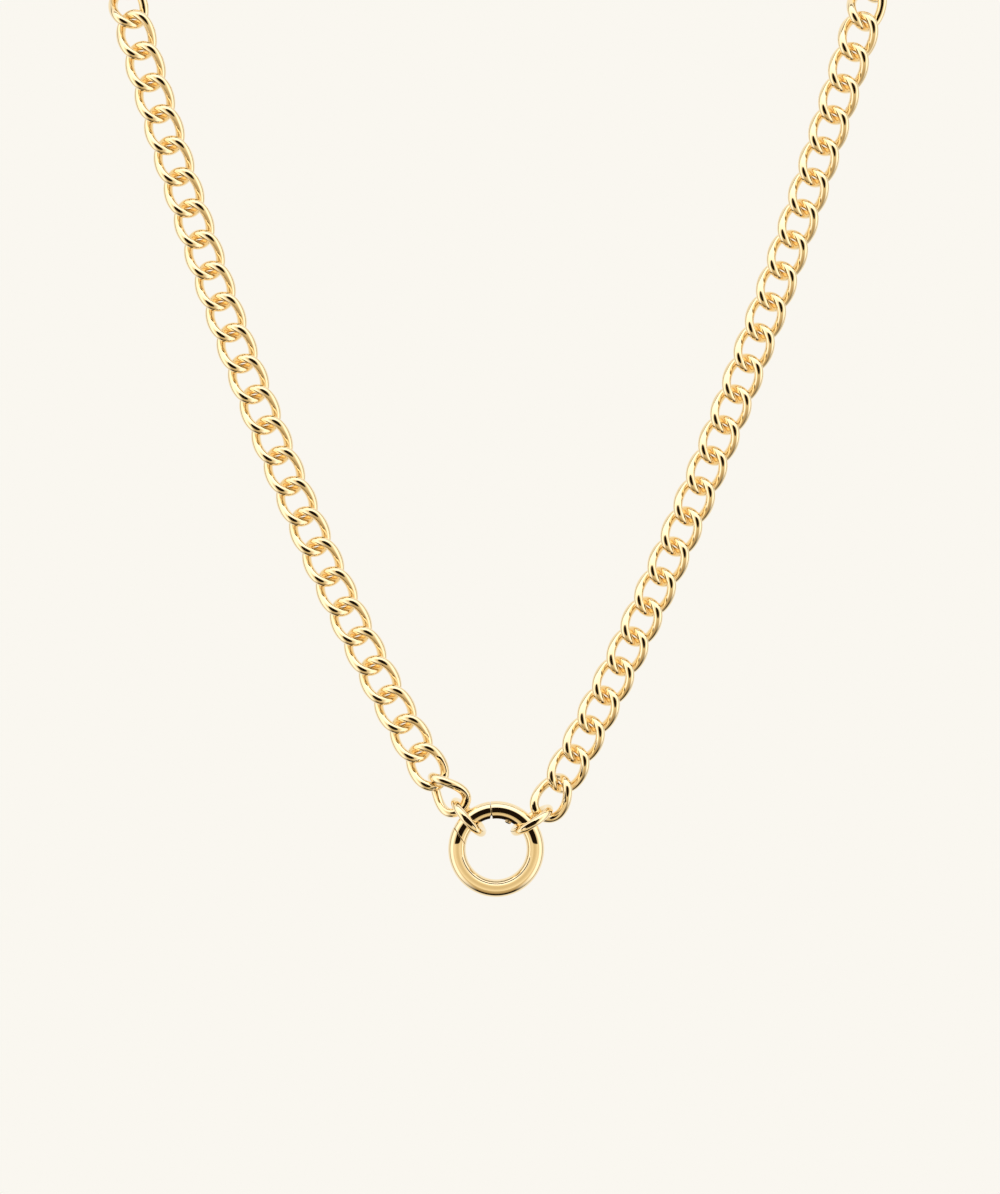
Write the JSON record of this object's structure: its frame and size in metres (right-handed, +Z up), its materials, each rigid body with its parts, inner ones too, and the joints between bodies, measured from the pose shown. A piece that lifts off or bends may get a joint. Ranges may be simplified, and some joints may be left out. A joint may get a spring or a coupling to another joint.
{
  "type": "chain necklace",
  "caption": "Curb chain necklace of twisted oval links, closed at the front by a round charm ring with a hinged spring gate.",
  "frame": {"origin": "centre of the link that rests on the nape of the neck, at the back of the chain", "axes": "+Z up as the necklace is worn, -Y toward the front, where the charm ring hangs, +X toward the right of a person who looks at the front"},
  "size_m": [0.1015, 0.0783, 0.1288],
  "materials": {
    "gold": "gold plated, mirror polished",
    "spring_steel": "bare spring steel"
  },
  "bodies": {
    "back_chain": {"back_chain_right": "gold", "back_chain_middle": "gold", "back_chain_left": "gold"},
    "right_link_25": {"right_link_25": "gold"},
    "right_link_24": {"right_link_24": "gold"},
    "right_link_23": {"right_link_23": "gold"},
    "right_link_22": {"right_link_22": "gold"},
    "right_link_21": {"right_link_21": "gold"},
    "right_link_20": {"right_link_20": "gold"},
    "right_link_19": {"right_link_19": "gold"},
    "right_link_18": {"right_link_18": "gold"},
    "right_link_17": {"right_link_17": "gold"},
    "right_link_16": {"right_link_16": "gold"},
    "right_link_15": {"right_link_15": "gold"},
    "right_link_14": {"right_link_14": "gold"},
    "right_link_13": {"right_link_13": "gold"},
    "right_link_12": {"right_link_12": "gold"},
    "right_link_11": {"right_link_11": "gold"},
    "right_link_10": {"right_link_10": "gold"},
    "right_link_09": {"right_link_09": "gold"},
    "right_link_08": {"right_link_08": "gold"},
    "right_link_07": {"right_link_07": "gold"},
    "right_link_06": {"right_link_06": "gold"},
    "right_link_05": {"right_link_05": "gold"},
    "right_link_04": {"right_link_04": "gold"},
    "right_link_03": {"right_link_03": "gold"},
    "right_link_02": {"right_link_02": "gold"},
    "right_link_01": {"right_link_01": "gold"},
    "right_end_link": {"right_end_link": "gold"},
    "left_link_25": {"left_link_25": "gold"},
    "left_link_24": {"left_link_24": "gold"},
    "left_link_23": {"left_link_23": "gold"},
    "left_link_22": {"left_link_22": "gold"},
    "left_link_21": {"left_link_21": "gold"},
    "left_link_20": {"left_link_20": "gold"},
    "left_link_19": {"left_link_19": "gold"},
    "left_link_18": {"left_link_18": "gold"},
    "left_link_17": {"left_link_17": "gold"},
    "left_link_16": {"left_link_16": "gold"},
    "left_link_15": {"left_link_15": "gold"},
    "left_link_14": {"left_link_14": "gold"},
    "left_link_13": {"left_link_13": "gold"},
    "left_link_12": {"left_link_12": "gold"},
    "left_link_11": {"left_link_11": "gold"},
    "left_link_10": {"left_link_10": "gold"},
    "left_link_09": {"left_link_09": "gold"},
    "left_link_08": {"left_link_08": "gold"},
    "left_link_07": {"left_link_07": "gold"},
    "left_link_06": {"left_link_06": "gold"},
    "left_link_05": {"left_link_05": "gold"},
    "left_link_04": {"left_link_04": "gold"},
    "left_link_03": {"left_link_03": "gold"},
    "left_link_02": {"left_link_02": "gold"},
    "left_link_01": {"left_link_01": "gold"},
    "left_end_link": {"left_end_link": "gold"},
    "ring_body": {"ring_body": "gold", "hinge_pin": "spring_steel", "gate_spring": "spring_steel", "spring_rivet": "gold"},
    "ring_gate": {"ring_gate": "gold"}
  },
  "joints": [
    {"name": "fold_26_right", "type": "hinge", "parent": "back_chain", "child": "right_link_25", "pos_m": [0.04461, -0.0726, -0.01836], "axis": [1, 0, -0.001], "range_deg": [-25, 25]},
    {"name": "fold_26_left", "type": "hinge", "parent": "back_chain", "child": "left_link_25", "pos_m": [-0.04445, -0.0726, -0.01827], "axis": [1, 0, -0.001], "range_deg": [-25, 25]},
    {"name": "fold_25_right", "type": "hinge", "parent": "right_link_25", "child": "right_link_24", "pos_m": [0.0434, -0.0726, -0.02229], "axis": [-1, 0, 0.0009], "range_deg": [-25, 25]},
    {"name": "fold_25_left", "type": "hinge", "parent": "left_link_25", "child": "left_link_24", "pos_m": [-0.04329, -0.0726, -0.02221], "axis": [-1, 0, 0.0009], "range_deg": [-25, 25]},
    {"name": "fold_24_right", "type": "hinge", "parent": "right_link_24", "child": "right_link_23", "pos_m": [0.04217, -0.0726, -0.02621], "axis": [-1, 0, 0.0007], "range_deg": [-25, 25]},
    {"name": "fold_24_left", "type": "hinge", "parent": "left_link_24", "child": "left_link_23", "pos_m": [-0.04211, -0.0726, -0.02615], "axis": [-1, 0, 0.0007], "range_deg": [-25, 25]},
    {"name": "fold_23_right", "type": "hinge", "parent": "right_link_23", "child": "right_link_22", "pos_m": [0.04092, -0.0726, -0.03013], "axis": [1, 0, -0.0006], "range_deg": [-25, 25]},
    {"name": "fold_23_left", "type": "hinge", "parent": "left_link_23", "child": "left_link_22", "pos_m": [-0.04091, -0.0726, -0.03008], "axis": [1, 0, -0.0006], "range_deg": [-25, 25]},
    {"name": "fold_22_right", "type": "hinge", "parent": "right_link_22", "child": "right_link_21", "pos_m": [0.03965, -0.0726, -0.03403], "axis": [1, 0, -0.0004], "range_deg": [-25, 25]},
    {"name": "fold_22_left", "type": "hinge", "parent": "left_link_22", "child": "left_link_21", "pos_m": [-0.03968, -0.0726, -0.034], "axis": [1, 0, -0.0004], "range_deg": [-25, 25]},
    {"name": "fold_21_right", "type": "hinge", "parent": "right_link_21", "child": "right_link_20", "pos_m": [0.03836, -0.0726, -0.03793], "axis": [-1, 0, 0.0003], "range_deg": [-25, 25]},
    {"name": "fold_21_left", "type": "hinge", "parent": "left_link_21", "child": "left_link_20", "pos_m": [-0.03842, -0.0726, -0.03791], "axis": [-1, 0, 0.0003], "range_deg": [-25, 25]},
    {"name": "fold_20_right", "type": "hinge", "parent": "right_link_20", "child": "right_link_19", "pos_m": [0.03704, -0.0726, -0.04183], "axis": [-1, 0, 0.0001], "range_deg": [-25, 25]},
    {"name": "fold_20_left", "type": "hinge", "parent": "left_link_20", "child": "left_link_19", "pos_m": [-0.03714, -0.0726, -0.04182], "axis": [-1, 0, 0.0001], "range_deg": [-25, 25]},
    {"name": "fold_19_right", "type": "hinge", "parent": "right_link_19", "child": "right_link_18", "pos_m": [0.0357, -0.0726, -0.04571], "axis": [1, 0, 0], "range_deg": [-25, 25]},
    {"name": "fold_19_left", "type": "hinge", "parent": "left_link_19", "child": "left_link_18", "pos_m": [-0.03582, -0.0726, -0.04571], "axis": [1, 0, 0], "range_deg": [-25, 25]},
    {"name": "fold_18_right", "type": "hinge", "parent": "right_link_18", "child": "right_link_17", "pos_m": [0.03433, -0.0726, -0.04959], "axis": [1, 0, 0.0002], "range_deg": [-25, 25]},
    {"name": "fold_18_left", "type": "hinge", "parent": "left_link_18", "child": "left_link_17", "pos_m": [-0.03448, -0.0726, -0.0496], "axis": [1, 0, 0.0002], "range_deg": [-25, 25]},
    {"name": "fold_17_right", "type": "hinge", "parent": "right_link_17", "child": "right_link_16", "pos_m": [0.03293, -0.0726, -0.05345], "axis": [-1, 0, -0.0003], "range_deg": [-25, 25]},
    {"name": "fold_17_left", "type": "hinge", "parent": "left_link_17", "child": "left_link_16", "pos_m": [-0.03311, -0.0726, -0.05347], "axis": [-1, 0, -0.0003], "range_deg": [-25, 25]},
    {"name": "fold_16_right", "type": "hinge", "parent": "right_link_16", "child": "right_link_15", "pos_m": [0.03151, -0.0726, -0.05731], "axis": [-1, 0, -0.0004], "range_deg": [-25, 25]},
    {"name": "fold_16_left", "type": "hinge", "parent": "left_link_16", "child": "left_link_15", "pos_m": [-0.0317, -0.0726, -0.05733], "axis": [-1, 0, -0.0004], "range_deg": [-25, 25]},
    {"name": "fold_15_right", "type": "hinge", "parent": "right_link_15", "child": "right_link_14", "pos_m": [0.03006, -0.0726, -0.06115], "axis": [1, 0, 0.0005], "range_deg": [-25, 25]},
    {"name": "fold_15_left", "type": "hinge", "parent": "left_link_15", "child": "left_link_14", "pos_m": [-0.03026, -0.0726, -0.06118], "axis": [1, 0, 0.0005], "range_deg": [-25, 25]},
    {"name": "fold_14_right", "type": "hinge", "parent": "right_link_14", "child": "right_link_13", "pos_m": [0.02858, -0.0726, -0.06499], "axis": [1, 0, 0.0006], "range_deg": [-25, 25]},
    {"name": "fold_14_left", "type": "hinge", "parent": "left_link_14", "child": "left_link_13", "pos_m": [-0.02879, -0.0726, -0.06502], "axis": [1, 0, 0.0006], "range_deg": [-25, 25]},
    {"name": "fold_13_right", "type": "hinge", "parent": "right_link_13", "child": "right_link_12", "pos_m": [0.02706, -0.0726, -0.06881], "axis": [-1, 0, -0.0006], "range_deg": [-25, 25]},
    {"name": "fold_13_left", "type": "hinge", "parent": "left_link_13", "child": "left_link_12", "pos_m": [-0.02727, -0.0726, -0.06884], "axis": [-1, 0, -0.0006], "range_deg": [-25, 25]},
    {"name": "fold_12_right", "type": "hinge", "parent": "right_link_12", "child": "right_link_11", "pos_m": [0.02552, -0.0726, -0.07262], "axis": [-1, 0, -0.0005], "range_deg": [-25, 25]},
    {"name": "fold_12_left", "type": "hinge", "parent": "left_link_12", "child": "left_link_11", "pos_m": [-0.02572, -0.0726, -0.07265], "axis": [-1, 0, -0.0005], "range_deg": [-25, 25]},
    {"name": "fold_11_right", "type": "hinge", "parent": "right_link_11", "child": "right_link_10", "pos_m": [0.02394, -0.0726, -0.07641], "axis": [1, 0, 0.0004], "range_deg": [-25, 25]},
    {"name": "fold_11_left", "type": "hinge", "parent": "left_link_11", "child": "left_link_10", "pos_m": [-0.02413, -0.0726, -0.07643], "axis": [1, 0, 0.0004], "range_deg": [-25, 25]},
    {"name": "fold_10_right", "type": "hinge", "parent": "right_link_10", "child": "right_link_09", "pos_m": [0.02233, -0.0726, -0.08019], "axis": [1, 0, 0.0002], "range_deg": [-25, 25]},
    {"name": "fold_10_left", "type": "hinge", "parent": "left_link_10", "child": "left_link_09", "pos_m": [-0.02249, -0.0726, -0.0802], "axis": [1, 0, 0.0002], "range_deg": [-25, 25]},
    {"name": "fold_09_right", "type": "hinge", "parent": "right_link_09", "child": "right_link_08", "pos_m": [0.02068, -0.0726, -0.08396], "axis": [-1, 0, 0.0001], "range_deg": [-25, 25]},
    {"name": "fold_09_left", "type": "hinge", "parent": "left_link_09", "child": "left_link_08", "pos_m": [-0.02081, -0.0726, -0.08395], "axis": [-1, 0, 0.0001], "range_deg": [-25, 25]},
    {"name": "fold_08_right", "type": "hinge", "parent": "right_link_08", "child": "right_link_07", "pos_m": [0.019, -0.0726, -0.08771], "axis": [-1, 0, 0.0007], "range_deg": [-25, 25]},
    {"name": "fold_08_left", "type": "hinge", "parent": "left_link_08", "child": "left_link_07", "pos_m": [-0.01908, -0.0726, -0.08768], "axis": [-1, 0, 0.0007], "range_deg": [-25, 25]},
    {"name": "fold_07_right", "type": "hinge", "parent": "right_link_07", "child": "right_link_06", "pos_m": [0.01727, -0.0726, -0.09144], "axis": [1, 0, -0.0015], "range_deg": [-25, 25]},
    {"name": "fold_07_left", "type": "hinge", "parent": "left_link_07", "child": "left_link_06", "pos_m": [-0.0173, -0.0726, -0.09139], "axis": [1, 0, -0.0015], "range_deg": [-25, 25]},
    {"name": "fold_06_right", "type": "hinge", "parent": "right_link_06", "child": "right_link_05", "pos_m": [0.01551, -0.0726, -0.09515], "axis": [1, 0, -0.0027], "range_deg": [-25, 25]},
    {"name": "fold_06_left", "type": "hinge", "parent": "left_link_06", "child": "left_link_05", "pos_m": [-0.01546, -0.0726, -0.09507], "axis": [1, 0, -0.0027], "range_deg": [-25, 25]},
    {"name": "fold_05_right", "type": "hinge", "parent": "right_link_05", "child": "right_link_04", "pos_m": [0.0137, -0.0726, -0.09884], "axis": [-1, 0, 0.0046], "range_deg": [-25, 25]},
    {"name": "fold_05_left", "type": "hinge", "parent": "left_link_05", "child": "left_link_04", "pos_m": [-0.01358, -0.0726, -0.09872], "axis": [-1, 0, 0.0046], "range_deg": [-25, 25]},
    {"name": "fold_04_right", "type": "hinge", "parent": "right_link_04", "child": "right_link_03", "pos_m": [0.01185, -0.0726, -0.10251], "axis": [-1, 0, 0.0075], "range_deg": [-25, 25]},
    {"name": "fold_04_left", "type": "hinge", "parent": "left_link_04", "child": "left_link_03", "pos_m": [-0.01163, -0.0726, -0.10234], "axis": [-1, 0, 0.0075], "range_deg": [-25, 25]},
    {"name": "fold_03_right", "type": "hinge", "parent": "right_link_03", "child": "right_link_02", "pos_m": [0.00995, -0.0726, -0.10616], "axis": [0.9999, 0, -0.012], "range_deg": [-25, 25]},
    {"name": "fold_03_left", "type": "hinge", "parent": "left_link_03", "child": "left_link_02", "pos_m": [-0.00962, -0.0726, -0.10592], "axis": [0.9999, 0, -0.012], "range_deg": [-25, 25]},
    {"name": "fold_02_right", "type": "hinge", "parent": "right_link_02", "child": "right_link_01", "pos_m": [0.00801, -0.0726, -0.10978], "axis": [0.9998, 0, -0.0197], "range_deg": [-20, 7]},
    {"name": "fold_02_left", "type": "hinge", "parent": "left_link_02", "child": "left_link_01", "pos_m": [-0.00755, -0.0726, -0.10947], "axis": [0.9998, 0, -0.0197], "range_deg": [-20, 7]},
    {"name": "fold_01_right", "type": "hinge", "parent": "right_link_01", "child": "right_end_link", "pos_m": [0.00601, -0.0726, -0.11337], "axis": [-0.9968, 0, 0.08], "range_deg": [-11, 11]},
    {"name": "fold_01_left", "type": "hinge", "parent": "left_link_01", "child": "left_end_link", "pos_m": [-0.00478, -0.0726, -0.11251], "axis": [-0.9968, 0, 0.08], "range_deg": [-11, 11]},
    {"name": "charm_ring_swing", "type": "hinge", "parent": "right_end_link", "child": "ring_body", "pos_m": [0.00282, -0.0726, -0.11546], "axis": [0.9981, 0, -0.061], "range_deg": [-10, 13]},
    {"name": "clasp_gate", "type": "hinge", "parent": "ring_body", "child": "ring_gate", "pos_m": [-0.00191, -0.0726, -0.11349], "axis": [0, -1, 0], "range_deg": [0, 15], "stiffness_Nm_per_rad": 0.004, "springref_deg": -11.46}
  ],
  "couplings": [
    {"joint": "fold_26_left", "follows": "fold_26_right", "ratio": 1},
    {"joint": "fold_25_left", "follows": "fold_25_right", "ratio": 1},
    {"joint": "fold_24_left", "follows": "fold_24_right", "ratio": 1},
    {"joint": "fold_23_left", "follows": "fold_23_right", "ratio": 1},
    {"joint": "fold_22_left", "follows": "fold_22_right", "ratio": 1},
    {"joint": "fold_21_left", "follows": "fold_21_right", "ratio": 1},
    {"joint": "fold_20_left", "follows": "fold_20_right", "ratio": 1},
    {"joint": "fold_19_left", "follows": "fold_19_right", "ratio": 1},
    {"joint": "fold_18_left", "follows": "fold_18_right", "ratio": 1},
    {"joint": "fold_17_left", "follows": "fold_17_right", "ratio": 1},
    {"joint": "fold_16_left", "follows": "fold_16_right", "ratio": 1},
    {"joint": "fold_15_left", "follows": "fold_15_right", "ratio": 1},
    {"joint": "fold_14_left", "follows": "fold_14_right", "ratio": 1},
    {"joint": "fold_13_left", "follows": "fold_13_right", "ratio": 1},
    {"joint": "fold_12_left", "follows": "fold_12_right", "ratio": 1},
    {"joint": "fold_11_left", "follows": "fold_11_right", "ratio": 1},
    {"joint": "fold_10_left", "follows": "fold_10_right", "ratio": 1},
    {"joint": "fold_09_left", "follows": "fold_09_right", "ratio": 1},
    {"joint": "fold_08_left", "follows": "fold_08_right", "ratio": 1},
    {"joint": "fold_07_left", "follows": "fold_07_right", "ratio": 1},
    {"joint": "fold_06_left", "follows": "fold_06_right", "ratio": 1},
    {"joint": "fold_05_left", "follows": "fold_05_right", "ratio": 1},
    {"joint": "fold_04_left", "follows": "fold_04_right", "ratio": 1},
    {"joint": "fold_03_left", "follows": "fold_03_right", "ratio": 1},
    {"joint": "fold_02_left", "follows": "fold_02_right", "ratio": 1},
    {"joint": "fold_01_left", "follows": "fold_01_right", "ratio": 1}
  ]
}
